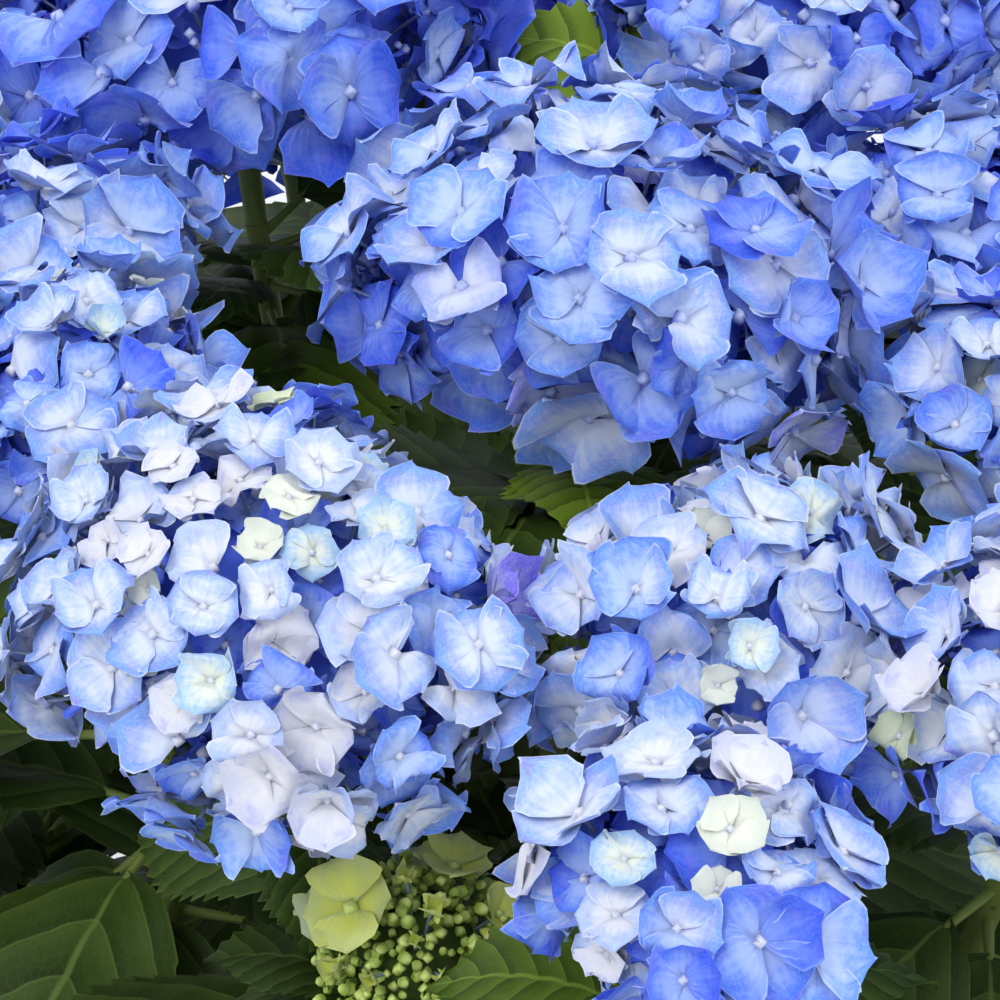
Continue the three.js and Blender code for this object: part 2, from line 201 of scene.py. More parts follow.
class Shader:
    def __init__(self, name):
        self.material = bpy.data.materials.new(name)
        self.material.use_nodes = True
        self.tree = self.material.node_tree
        self.surface = self.tree.nodes["Principled BSDF"]
        uv = self.tree.nodes.new("ShaderNodeUVMap")
        uv.uv_map = "OFBake"
        self.place = Value(self, uv.outputs[0])
        split = self.tree.nodes.new("ShaderNodeSeparateXYZ")
        self.x = self.wired(split, {0: self.place})
        self.y = Value(self, split.outputs[1])

    # Gives a node's inputs a number, a colour or another value, and takes its output.
    def wired(self, node, feeds, output=0):
        for key, value in feeds.items():
            if isinstance(value, Value):
                self.tree.links.new(value.socket, node.inputs[key])
            elif isinstance(value, tuple):
                node.inputs[key].default_value = (*value, 1.0)
            else:
                node.inputs[key].default_value = value
        return Value(self, node.outputs[output])

    def math(self, operation, *values):
        node = self.tree.nodes.new("ShaderNodeMath")
        node.operation = operation
        return self.wired(node, dict(enumerate(values)))

    # From 0 to 1 as the value goes from low to high.
    def step(self, value, low, high):
        node = self.tree.nodes.new("ShaderNodeMapRange")
        node.interpolation_type = "SMOOTHSTEP"
        return self.wired(node, {0: value, 1: low, 2: high})

    def mix(self, share, a, b):
        node = self.tree.nodes.new("ShaderNodeMix")
        node.data_type = "RGBA"
        return self.wired(node, {0: share, 6: a, 7: b}, 2)

    # One plain colour for each band of a value that runs from 0 to 1.
    def bands(self, value, colours):
        node = self.tree.nodes.new("ShaderNodeValToRGB")
        node.color_ramp.interpolation = "CONSTANT"
        points = node.color_ramp.elements
        while len(points) < len(colours):
            points.new(len(points) / len(colours))
        for i, colour in enumerate(colours):
            points[i].position = i / len(colours)
            points[i].color = (*colour, 1.0)
        return self.wired(node, {0: value})

    # The map's place drawn out, for a pattern that runs longer one way than the other.
    def drawnOut(self, x, y):
        node = self.tree.nodes.new("ShaderNodeMapping")
        node.inputs["Scale"].default_value = (x, y, 1.0)
        return self.wired(node, {"Vector": self.place})

    def noise(self, scale, detail=2.0, place=None):
        node = self.tree.nodes.new("ShaderNodeTexNoise")
        return self.wired(node, {"Scale": scale, "Detail": detail, "Vector": place or self.place})

    # How far a place is from the middle of its cell, or from the cell's edge.
    def cells(self, scale, feature="F1", place=None):
        node = self.tree.nodes.new("ShaderNodeTexVoronoi")
        node.feature = feature
        return self.wired(node, {"Scale": scale, "Vector": place or self.place}, "Distance")

    def finish(self, colour, roughness, specular=0.3, sheen=0.0):
        self.wired(self.surface, {"Base Color": colour, "Roughness": roughness,
                                  "Specular IOR Level": specular, "Sheen Weight": sheen})
        return self.material


# A colour as it looks on the screen, turned to the light's own scale.
def rgb(*screen):
    return tuple(v / 12.92 if v <= 0.04045 else ((v + 0.055) / 1.055) ** 2.4
                 for v in (s / 255 for s in screen))


# The tone, from 0 to 1, and the place in its tile that tilePlace gave.
def tileNodes(shader, tiles):
    inner = 1 - 2 * tileMargin
    wideX, wideY = shader.x * tiles[0], shader.y * tiles[1]
    column, row = shader.math("FLOOR", wideX), shader.math("FLOOR", wideY)
    u = (shader.math("FRACT", wideY) - tileMargin) * (1 / inner)
    v = (shader.math("FRACT", wideX) - 0.5) * (2 / inner)
    return (row * tiles[0] + column + 0.5) * (1 / (tiles[0] * tiles[1])), u, v


def plainPaint(name, colour, roughness):
    paint = bpy.data.materials.new(name)
    paint.use_nodes = True
    inputs = paint.node_tree.nodes["Principled BSDF"].inputs
    inputs["Base Color"].default_value = (*colour, 1)
    inputs["Roughness"].default_value = roughness
    return paint


# The growing rule.
plan = {
    "domeTop": 655, "domeFall": 90, "domeReach": 365, "tiltPerMm": 0.075, "tiltPerLift": 0.12,
    "headUp": 0.62, "headDown": 0.46, "headFoot": 0.66, "stalkRadius": 4.2,
    "crownFork": 34, "crownSeat": 36, "caneLean": 52, "caneFootRadius": 8.5,
    "caneTipRadius": 5.6, "caneReach": 168, "caneTipHeight": 240, "outerCanes": 7,
    "caneBend": 105, "middleBend": 90, "middleTip": (6.0, -8.0, 280.0), "middleReach": 175,
    "branchRadius": 5.2, "shootRadius": 3.9, "forkRise": 26, "leafLength": 114,
    "leafWidth": 0.66, "leafStalk": 0.2, "leafDroop": 0.42, "leafRise": 0.34,
    "leafLevel": 0.75, "leafOutward": 0.3, "gap": 0.3,
    "pairsOnShoot": (0.42, 0.8), "skirtPairs": (0.5, 0.96), "skirtShoots": 2,
    "skirtReach": 330, "skirtHeight": 200, "skirtStep": 60, "skirtSpread": 25, "skirtLean": 75,
    "leafTries": ((0, 1), (28, 1), (-28, 1), (0, 0.8), (35, 0.8), (-35, 0.8), (0, 0.62)),
}

# name, x, y, lift over the dome, width, colour, floret size, a sepal's rows and columns
seenHeads = (
    ("back_left", -94, 68, 6, 194, "deep", 38, 9, 7),
    ("back_right", 98, 55, 14, 154, "mid", 33, 9, 7),
    ("centre", 25, -126, -12, 192, "lilac", 32, 9, 7),
    ("right", 160, -42, -16, 124, "mid", 31, 9, 7),
    ("left", -152, -66, -20, 124, "mid", 31, 9, 7),
    ("left_low", -122, -165, -14, 114, "sky", 26, 8, 7),
    ("right_mid", 163, -155, -14, 108, "sky", 29, 8, 7),
    ("front_left", -57, -266, -12, 162, "pale", 25, 9, 7),
    ("front_right", 58, -270, -7, 120, "pale", 26, 9, 7),
    ("far_right", 150, -302, 5, 122, "pale", 27, 9, 7),
    ("low", 46, -364, 2, 94, "shaded", 26, 9, 7),
    ("young", -22, -308, -76, 54, "lime", 21, 7, 5),
)
# Along the shoot, bearing, rise, length, and for one leaf its roll about the midrib.
seenLeaves = {
    "back_left": ((0.86, 335, 6, 116), (0.86, 150, 0, 110), (0.62, 255, -8, 116), (0.45, 60, 0, 110)),
    "back_right": ((0.84, 205, 8, 112), (0.84, 30, 0, 108), (0.6, 300, -8, 110), (0.45, 120, 0, 110)),
    "centre": ((0.9, 200, -8, 100), (0.88, 340, 4, 96), (0.8, 100, 12, 112), (0.66, 250, -14, 118)),
    "left_low": ((0.72, 186, 4, 128), (0.62, 240, -24, 130), (0.5, 330, -10, 112), (0.5, 80, 24, 100)),
    "front_left": ((0.8, 138, 8, 74, -46), (0.8, 344, -6, 104), (0.56, 262, -34, 124),
                   (0.56, 92, 24, 104)),
    "front_right": ((0.7, 195, -4, 88), (0.8, 8, 6, 108), (0.5, 285, -30, 120), (0.5, 100, 20, 100)),
}
# More leaves on the same shoots, in the gaps between the front heads: along, bearing, rise,
# length, tone from dark to lit as painted shade and light, and for some their roll.
gapLeaves = {
    "back_left": ((0.95, 300, 26, 104, 0), (0.97, 345, 24, 104, 1), (0.9, 280, 2, 108, 2),
                  (0.8, 262, 6, 104, 1), (0.93, 318, 4, 96, 0, 30), (0.985, 358, 45, 104, 0, 36),
                  (0.8, 118, 31, 86, 2), (0.8, 92, 21, 68, 1), (0.8, 39, -21, 85, 0),
                  (0.8, 15, -15, 102, 1)),
    "back_right": ((0.985, 175, 47, 110, 3, -40), (0.96, 188, 26, 92, 1), (0.9, 262, 16, 84, 2),
                   (0.8, 27, 2, 90, 0), (0.8, 236, -18, 75, 0)),
    "right": ((0.9, 115, 22, 64, 0), (0.85, 93, 30, 80, 1), (0.8, 147, 6, 117, 0)),
    "centre": ((0.96, 215, 20, 92, 0), (0.97, 250, 16, 84, 1), (0.985, 274, 27, 74, 3),
               (0.97, 268, 10, 76, 0), (0.97, 302, 14, 82, 1), (0.9, 236, 4, 96, 1),
               (0.9, 178, 22, 100, 0, -20), (0.8, 129, 33, 112, 0), (0.8, 114, 32, 94, 1)),
    "right_mid": ((0.97, 226, 18, 84, 0), (0.9, 250, 6, 84, 1)),
    "far_right": ((0.9, 215, -20, 96, 0, -20), (0.86, 265, -14, 90, 0)),
    "low": ((0.9, 182, 31, 60, 2, -45), (0.9, 196, -8, 96, 1), (0.8, 350, -10, 100, 0)),
    "front_left": ((0.9, 300, -4, 92, 0),),
    "left_low": ((0.55, 262, -34, 104, 0), (0.6, 205, -30, 104, 0)),
    "young": ((0.95, 165, 8, 50, 1),),
}
# name, reach, lift, first bearing, step, count, width
rings = (
    ("inner", 242, 0, 12, 41, 5, 144),
    ("outer", 372, -22, -35, 28, 10, 148),
    ("skirt", 392, -165, -128, 66, 5, 118),
)
ringColours = ("mid", "pale", "mid", "deep")
ringLook = {"size": 33, "rows": 7, "columns": 5}


def makeHead(name, x, y, lift, width, *look):
    reach = math.hypot(x, y)
    bearing = math.degrees(math.atan2(y, x))
    axis = leaning(bearing, max(reach * plan["tiltPerMm"] - lift * plan["tiltPerLift"], 0))
    height = plan["domeTop"] - plan["domeFall"] * (reach / plan["domeReach"]) ** 2 + lift
    middle = np.array([x, y, height])
    return {"name": name, "reach": reach, "bearing": bearing, "radius": width / 2, "axis": axis,
            "middle": middle, "foot": middle - axis * plan["headFoot"] * width / 2, "look": look}


def ringHeads(name, reach, lift, first, step, count, width):
    for i in range(count):
        draw = Seeded(reach + i)
        x, y, _ = polar(first + step * i, reach + 24 * (draw() - 0.5))
        raised = lift + 30 * (draw() - 0.5)
        yield makeHead(f"{name}_{i + 1}", x, y, raised, width * (0.88 + 0.24 * draw()),
                       ringColours[(i + count) % len(ringColours)], *ringLook.values())


def makeCanes():
    for i in range(plan["outerCanes"]):
        bearing = -90 + i * 360 / plan["outerCanes"]
        tip = polar(bearing, plan["caneReach"], plan["caneTipHeight"])
        yield str(i + 1), bearing, leaning(bearing, plan["caneLean"]), plan["caneBend"], tip
    yield "middle", None, upward, plan["middleBend"], np.array(plan["middleTip"])


def caneOf(head):
    def apart(cane):
        return abs((cane["bearing"] - head["bearing"] + 540) % 360 - 180)

    return canes[-1] if head["reach"] < plan["middleReach"] else min(canes[:-1], key=apart)


def shootCurve(fork, tip, axis):
    return Bezier(fork, tip - axis * np.linalg.norm(tip - fork) * 0.5, tip)


def leafDirection(axis, root, turn):
    direction = about(axis, np.radians(turn)) + axis * plan["leafRise"]
    direction[2] *= plan["leafLevel"]
    return unit(direction + unit([root[0], root[1], 0]) * plan["leafOutward"])


def leavesAlong(curve, pairs, draw):
    for k, t in enumerate(pairs):
        root, axis = curve.point(t), curve.tangent(t)
        first = (k % 2) * 90 + draw() * 50
        for turn in (first, first + 180):
            yield {"root": root, "axis": axis, "direction": leafDirection(axis, root, turn),
                   "length": plan["leafLength"] * (0.84 + 0.3 * draw())}


def placedLeaf(curve, along, bearing, rise, length, roll):
    return {"root": curve.point(along), "axis": upward, "direction": leaning(bearing, 90 - rise),
            "length": length, "roll": roll}


def turned(direction, axis, degrees):
    w = math.radians(degrees)
    return (direction * math.cos(w) + np.cross(axis, direction) * math.sin(w)
            + axis * np.dot(axis, direction) * (1 - math.cos(w)))


def leafTip(leaf):
    whole = 1 + plan["leafStalk"]
    fall = upward * plan["leafDroop"] * leaf["length"]
    return leaf["root"] + leaf["direction"] * whole * leaf["length"] - fall


# The leaf grows on the first of its tries that fits.
def growLeaf(leaf, fits):
    for turn, share in plan["leafTries"]:
        grown = {**leaf, "direction": turned(leaf["direction"], leaf["axis"], turn),
                 "length": leaf["length"] * share}
        if fits(grown):
            leaves.append(grown)
            return


heads = [makeHead(*row) for row in seenHeads]
for row in rings:
    heads += ringHeads(*row)
canes = []
for name, bearing, axis, bend, tip in makeCanes():
    foot = upward * plan["crownFork"] + axis * (plan["crownSeat"] + plan["gap"])
    canes.append({"name": name, "bearing": bearing, "curve": Bezier(foot, foot + axis * bend, tip)})
shoots, leaves, forks = [], [], []
for i, cane in enumerate(canes):
    draw = Seeded(400 + i)
    away = cane["curve"].tangent(1.0)
    foot = cane["curve"].tip + away * plan["gap"]
    root = foot + away * plan["forkRise"] * 0.7
    forks.append(np.linspace(foot, foot + away * plan["forkRise"], 4))
    offered = []
    for head in heads:
        if caneOf(head) is not cane:
            continue
        curve = shootCurve(root, head["foot"] - head["axis"] * plan["gap"], head["axis"])
        shoots.append({"curve": curve, "tip": plan["stalkRadius"], "name": head["name"]})
        if head["name"] in seenLeaves:
            for along, bearing, rise, length, *roll in seenLeaves[head["name"]]:
                offered.append(placedLeaf(curve, along, bearing, rise, length, sum(roll)))
        else:
            offered += leavesAlong(curve, plan["pairsOnShoot"], draw)
    if cane["name"] != "middle":
        for k in range(plan["skirtShoots"]):
            bearing = cane["bearing"] + (k - 0.5) * plan["skirtSpread"] + 6 * (draw() - 0.5)
            tip = polar(bearing, plan["skirtReach"], plan["skirtHeight"] + plan["skirtStep"] * (k % 2))
            curve = shootCurve(root, tip, leaning(bearing, plan["skirtLean"]))
            shoots.append({"curve": curve, "tip": plan["shootRadius"] * 0.7, "name": None})
            offered += leavesAlong(curve, plan["skirtPairs"], draw)
    # A leaf stands where the solids' own leaf has its tip, on the same try.
    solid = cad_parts[f"branch_{cane['name']}"].data
    tips = np.empty(len(solid.vertices) * 3, dtype=np.float32)
    solid.vertices.foreach_get("co", tips)
    tips = tips.reshape(-1, 3) / mm
    for leaf in offered:
        growLeaf(leaf, lambda grown: np.linalg.norm(tips - leafTip(grown), axis=1).min() < 0.3)
tell(f"{len(heads)} heads, {len(shoots)} shoots, {len(leaves)} leaves of the solids")

middles = np.array([head["middle"] for head in heads])
radii = np.array([head["radius"] for head in heads])
axes = np.array([head["axis"] for head in heads])


# How deep points lie in the nearest head: under 1 is inside it.
def headDepth(points):
    away = points[:, None] - middles[None]
    high = np.sum(away * axes[None], -1)
    wide = np.linalg.norm(away - high[..., None] * axes[None], axis=-1)
    tall = np.where(high > 0, plan["headUp"], plan["headDown"])
    return np.sqrt((wide / radii) ** 2 + (high / (radii * tall)) ** 2).min(1)


# Smaller leaves between the solids' own, where they clear the heads and stay in the crown.
fill = {"along": (0.16, 0.3, 0.62, 0.93), "skirtAlong": (0.3, 0.74), "length": (98, 96, 88, 58),
        "clear": 1.06, "within": 20, "lowest": 60, "seed": 900}
crownReach = max(np.linalg.norm(leafTip(leaf)[:2]) for leaf in leaves)
draw = Seeded(fill["seed"])


def hasRoom(leaf):
    tip = leafTip(leaf)
    along = leaf["root"] + (tip - leaf["root"]) * np.linspace(0.35, 1, 5)[:, None]
    return (headDepth(along).min() > fill["clear"] and tip[2] > fill["lowest"]
            and np.linalg.norm(tip[:2]) < crownReach - fill["within"])


for shoot in shoots:
    for k, t in enumerate(fill["along"] if shoot["name"] else fill["skirtAlong"]):
        root, axis = shoot["curve"].point(t), shoot["curve"].tangent(t)
        first = draw() * 180
        for turn in (first, first + 180):
            size = fill["length"][k] * (0.8 + 0.4 * draw())
            growLeaf({"root": root, "axis": axis, "direction": leafDirection(axis, root, turn),
                      "length": size}, hasRoom)
for shoot in shoots:
    for along, bearing, rise, length, tone, *roll in gapLeaves.get(shoot["name"], ()):
        leaf = placedLeaf(shoot["curve"], along, bearing, rise, length, sum(roll))
        leaves.append({**leaf, "tone": tone})
tell(f"{len(leaves)} leaves in all")

# Leaves.
# Each tone's blade and vein, from dark to lit, and the share of leaves up to each. On the gap leaves the
# tones are painted shade and light; the other leaves draw theirs at random.
leafTones = ((rgb(31, 52, 10), rgb(92, 112, 54)), (rgb(38, 63, 12), rgb(104, 126, 60)),
             (rgb(53, 80, 15), rgb(116, 140, 54)), (rgb(100, 132, 28), rgb(156, 178, 70)))
leafLook = {"rows": 33, "columns": 7, "teeth": 0.13, "toothLean": 0.03, "fold": 0.34, "arch": 0.9,
            "veins": 7, "veinRun": 0.34, "quilt": 0.015, "wave": 0.035, "seed": 51,
            "toneShares": (0.45, 0.84, 0.97), "toneSeed": 77}
roots = np.array([leaf["root"] for leaf in leaves])
ways = np.array([leaf["direction"] for leaf in leaves])
lengths = np.array([leaf["length"] for leaf in leaves])
leafAlong, leafAcross = np.linspace(0, 1, leafLook["rows"]), np.linspace(-1, 1, leafLook["columns"])


# Half the blade's width at a share of its length, as a share of its widest: a round base,
# widest before the middle, and a drawn-out tip.
def leafOutline(t):
    return np.sin(math.pi * t ** 0.74) ** 0.8 * (1 - 0.34 * t ** 5)


# The blade: a folded, quilted and toothed sheet along the drooping midrib, (leaves, rows,
# columns) points. Side veins run forward from the midrib, pressed in, and the rows between
# them swell. Its height is fold - arch of the width squared + quilt + a slow wave.
def leafBlades():
    randoms = np.random.default_rng(leafLook["seed"]).random((len(leaves), 4))[..., None, None]
    length = lengths[:, None, None]
    roll = np.radians([leaf.get("roll", 0) for leaf in leaves])[:, None]
    side = unit(np.cross(ways, upward))
    side = side * np.cos(roll) - np.cross(side, ways) * np.sin(roll)
    t, v = leafAlong[:, None], leafAcross
    rim = np.abs(v) > 0.99
    tooth = (np.arange(len(t)) % 2)[:, None] * rim * np.sin(math.pi * t) ** 0.5
    half = leafOutline(t) * plan["leafWidth"] / 2 * (1 + leafLook["teeth"] * (tooth - 0.5 * rim)) * v
    veinAt = t - leafLook["veinRun"] * np.abs(v) ** 1.15 * leafOutline(t)
    quilt = np.abs(np.sin(veinAt * leafLook["veins"] * math.pi)) ** 0.7 * (1 - np.abs(v) ** 4)
    height = (np.abs(half) * leafLook["fold"] * (0.3 + randoms[:, 1]) - leafLook["arch"] * half ** 2
              + leafLook["quilt"] * quilt
              + leafLook["wave"] * np.sin(t * 9 + randoms[:, 0] * 6.3 + v) * np.abs(v) ** 3)
    along = (t + plan["leafStalk"] + tooth * leafLook["toothLean"]) * length
    points = (roots[:, None, None] + ways[:, None, None] * along[..., None]
              + side[:, None, None] * (half * length)[..., None])
    points[..., 2] += (height - plan["leafDroop"] * t ** 2) * length
    return points


def leafMaterial():
    shader = Shader("leafGreen")
    step, mix = shader.step, shader.mix
    tone, u, v = tileNodes(shader, (2, 2))
    blade, vein = (shader.bands(tone, colours) for colours in zip(*leafTones))
    far = abs(v)
    # The leaf is narrow at both ends, so veins keep their slope by the outline there.
    outline = shader.math("SINE", u ** 0.74 * math.pi) ** 0.8
    way = far ** 1.15 * outline * -leafLook["veinRun"] + u
    wave = abs(shader.math("SINE", way * (leafLook["veins"] * math.pi)))
    # Between two veins the blade swells, and its light and shade are painted on: its near slope a painted
    # highlight, its far slope painted shade.
    cell = shader.math("FRACT", way * leafLook["veins"])
    net = shader.cells(84.0, "DISTANCE_TO_EDGE")
    colour = mix(shader.noise(14.0) * 0.3, blade, vein)
    colour = mix(step(cell, 0.5, 0.95) * 0.5, colour, rgb(26, 42, 8))
    # The first mark is that painted highlight; then the fine net, the side veins and the midrib, paler.
    for share, mark in ((0.22, step(cell, 0.08, 0.5)), (0.1, step(net, 0.02, 0.12)),
                        (0.5, step(wave, 0.03, 0.12)), (0.8, step(far, 0.012, 0.045))):
        colour = mix((1 - mark) * share, colour, vein)
    return shader.finish(mix(step(far, 0.95, 1.0) * 0.35, colour, vein), 0.5, specular=0.18)


blades = leafBlades()
drawnTones = np.digitize(np.random.default_rng(leafLook["toneSeed"]).random(len(leaves)),
                         leafLook["toneShares"])
leafUv = tilePlace([leaf.get("tone", drawn) for leaf, drawn in zip(leaves, drawnTones)], (2, 2),
                   leafAlong, leafAcross)
leafPaint = leafMaterial()
front = blades[:, 0, 0, 1] < 0
for name, chosen in (("leavesFront", front), ("leavesBack", ~front)):
    gridPiece(name, blades[chosen], leafPaint, leafUv[chosen], closed=False)

# Green stems.
stemTones = (rgb(118, 134, 66), rgb(118, 136, 68), rgb(126, 100, 112), rgb(128, 146, 72))
stemLook = {"rows": 14, "sides": 10, "knot": 0.1, "knotLength": 0.03, "forkSides": 12,
            "stalkSides": 6, "stalkRows": 5, "stalkRadii": (2.1, 1.1), "stalkSink": 0.6}


def stemMaterial():
    shader = Shader("stemGreen")
    tone, u, v = tileNodes(shader, (2, 2))
    # A tile is half a stem round and the whole of it long, so dots are drawn much denser
    # along it than across.
    speck = 1 - shader.step(shader.cells(1.0, place=shader.drawnOut(4.5, 120.0)), 0.08, 0.16)
    colour = shader.mix(shader.noise(9.0) * 0.5, shader.bands(tone, stemTones), rgb(66, 84, 36))
    return shader.finish(shader.mix(speck * 0.8, colour, rgb(52, 34, 36)), 0.5)


stemPaint = stemMaterial()
ts = np.linspace(0, 1, stemLook["rows"])
widths = plan["shootRadius"] + (np.array([[shoot["tip"]] for shoot in shoots]) - plan["shootRadius"]) * ts
# A shoot swells a little where its leaves stand.
for at in plan["pairsOnShoot"]:
    widths *= 1 + stemLook["knot"] * np.exp(-((ts - at) / stemLook["knotLength"]) ** 2)
shootGrid = tubeGrid(np.stack([shoot["curve"].point(ts) for shoot in shoots]), widths, stemLook["sides"])
roundPiece("greenStems", shootGrid, stemPaint, [2 * (shoot["name"] == "back_right") for shoot in shoots])

forks = np.array(forks)
forks[:, -1] -= (forks[:, -1] - forks[:, -2]) * 0.5
forkRadii = np.array([1, 1.04, 1, 2.0 / plan["branchRadius"]]) * plan["branchRadius"]
roundPiece("greenForks", tubeGrid(forks, forkRadii, stemLook["forkSides"]), stemPaint)

# Leaf stalks run from the shoot's middle to the blade, with their underside under the blade.
stalkAt = np.linspace(0, plan["leafStalk"] + 0.12, stemLook["stalkRows"])
past = np.maximum(stalkAt - plan["leafStalk"], 0)
stalkMiddles = roots[:, None] + ways[:, None] * (stalkAt * lengths[:, None])[..., None]
stalkMiddles[..., 2] -= plan["leafDroop"] * past ** 2 * lengths[:, None] + stemLook["stalkSink"]
stalkWidths = np.linspace(*stemLook["stalkRadii"], stemLook["stalkRows"]) * (lengths[:, None] / 110) ** 0.5
roundPiece("leafStalks", tubeGrid(stalkMiddles, stalkWidths, stemLook["stalkSides"]), stemPaint, 3)

# Flower heads.
# Each tone's heart and tip. Every head deals its tones out by a draw, one row of odds at its
# top and another at its rim.
petalTones = {
    "white": ((226, 225, 231), (204, 210, 233)), "milk": ((225, 227, 235), (168, 192, 240)),
    "pale": ((219, 225, 238), (142, 176, 240)), "sky": ((210, 219, 243), (114, 160, 240)),
    "mid": ((186, 206, 245), (94, 144, 240)), "blue": ((160, 184, 243), (76, 120, 236)),
    "deep": ((118, 146, 240), (56, 92, 226)), "indigo": ((112, 122, 230), (64, 72, 210)),
    "lilac": ((214, 220, 242), (160, 178, 240)), "tipped": ((206, 216, 242), (138, 146, 236)),
    "violet": ((196, 198, 242), (116, 106, 226)), "cream": ((230, 232, 220), (214, 222, 214)),
    "lime": ((224, 230, 196), (202, 216, 180)), "mint": ((226, 232, 220), (150, 190, 236)),
    "young": ((208, 216, 100), (188, 200, 130)), "unripe": ((190, 200, 134), (170, 182, 152)),
}
toneNames = list(petalTones)
toneTiles = (4, 4)
# The tones from white to deep stand in a row, so that a step along it is a deeper tone.
deepest = toneNames.index("deep")
greenTones = ("cream", "lime", "mint", "young", "unripe")
# Pale and greenish florets are younger and smaller.
toneSizes = {"white": 0.86, "milk": 0.96, "cream": 0.68, "lime": 0.66, "mint": 0.74, "young": 1.0}
dealt = {
    "deep": ({"sky": 5, "mid": 22, "blue": 42, "deep": 31}, {"mid": 5, "blue": 33, "deep": 50, "indigo": 12}),
    "mid": ({"pale": 7, "sky": 35, "mid": 37, "blue": 15, "cream": 2, "tipped": 4},
            {"sky": 14, "mid": 34, "blue": 38, "deep": 13, "violet": 1}),
    "sky": ({"pale": 30, "sky": 38, "mid": 22, "cream": 4, "mint": 6},
            {"sky": 26, "mid": 38, "blue": 28, "deep": 8}),
    "lilac": ({"pale": 10, "sky": 36, "mid": 27, "lilac": 7, "tipped": 6, "blue": 8, "cream": 3, "mint": 3},
              {"sky": 10, "mid": 38, "blue": 35, "deep": 10, "tipped": 6, "violet": 1}),
    "pale": ({"white": 27, "milk": 28, "pale": 21, "sky": 5, "cream": 11, "lime": 3, "mint": 7},
             {"milk": 20, "pale": 22, "sky": 26, "mid": 19, "blue": 10, "violet": 1, "deep": 2}),
    "shaded": ({"white": 13, "milk": 22, "pale": 23, "sky": 19, "mid": 8, "cream": 7, "mint": 8},
               {"pale": 10, "sky": 22, "mid": 28, "blue": 28, "deep": 10, "violet": 2}),
}
floretLook = {
    "wrap": 114, "cover": 0.72, "spacing": 0.62, "depths": (0.93, 0.87, 0.81), "depthWander": 0.03,
    "under": 0.66, "underSpacing": 1.4, "underShadeSteps": 4, "underShape": 0.4, "tilt": 0.19,
    "turnWander": 0.1, "sepalHalf": 0.67, "cup": 0.3, "rise": 0.2, "curl": 0.18, "ripple": 0.09,
    "edge": 0.05, "lift": 0.05, "liftOut": 0.1, "close": 0.32, "deeperOdds": 0.22, "beadTop": 0.16,
    "below": 0.07, "farthest": 11, "seed": 300, "sepalSeed": 7000,
}
# Where a head's dome falls in: a direction from its middle, how wide in degrees, how deep.
dents = {
    "front_left": (((0.72, 0.43, 0.53), 50, 0.38), ((-0.76, -0.6, -0.24), 34, 0.24)),
    "front_right": (((-0.4, 0.48, 0.78), 70, 0.42),),
    "left_low": (((0.9, 0.0, 0.4), 54, 0.36),),
    "centre": (((-0.8, -0.58, -0.1), 36, 0.24), ((-0.89, 0.25, 0.38), 34, 0.22),
               ((-0.5, -0.82, -0.25), 44, 0.2), ((-0.03, -0.86, -0.5), 56, 0.28)),
    "back_right": (((-0.94, -0.3, 0.1), 40, 0.24),),
    "left": (((0.97, -0.2, -0.1), 36, 0.14),),
    "low": (((-0.8, -0.5, -0.3), 56, 0.36), ((0.95, -0.24, -0.19), 40, 0.2)),
}


# Half a sepal's width at a share of its length: a narrow claw, a broad shoulder and nearly
# straight flanks to its point.
def sepalOutline(u):
    return np.sin(math.pi * np.clip(u, 0, 1) ** 1.04) ** (0.64 + 0.78 * u ** 2)


# From a head's middle out to its dome, at an angle from its axis and a turn about it: the
# ring by the sine of the angle and the axis by its cosine, to a height of its own up and
# down. Gives the way out, the ring and the height.
def domeOut(head, angle, turn):
    high = np.where(np.cos(angle) > 0, plan["headUp"], plan["headDown"]) * head["radius"]
    ring = about(head["axis"], turn)
    out = (ring * (np.sin(angle) * head["radius"])[..., None]
           + head["axis"] * (np.cos(angle) * high)[..., None])
    return out, ring, high


# How far out the dome still stands in each direction, from 1 where no dent is.
def dented(head, out):
    share = np.ones(out.shape[:-1])
    for toward, spread, sink in dents.get(head["name"], ()):
        near = np.degrees(np.arccos(np.clip(unit(out) @ unit(toward), -1, 1))) / spread
        share *= 1 - sink * np.clip(1.5 - 1.5 * near, 0, 1)
    return share


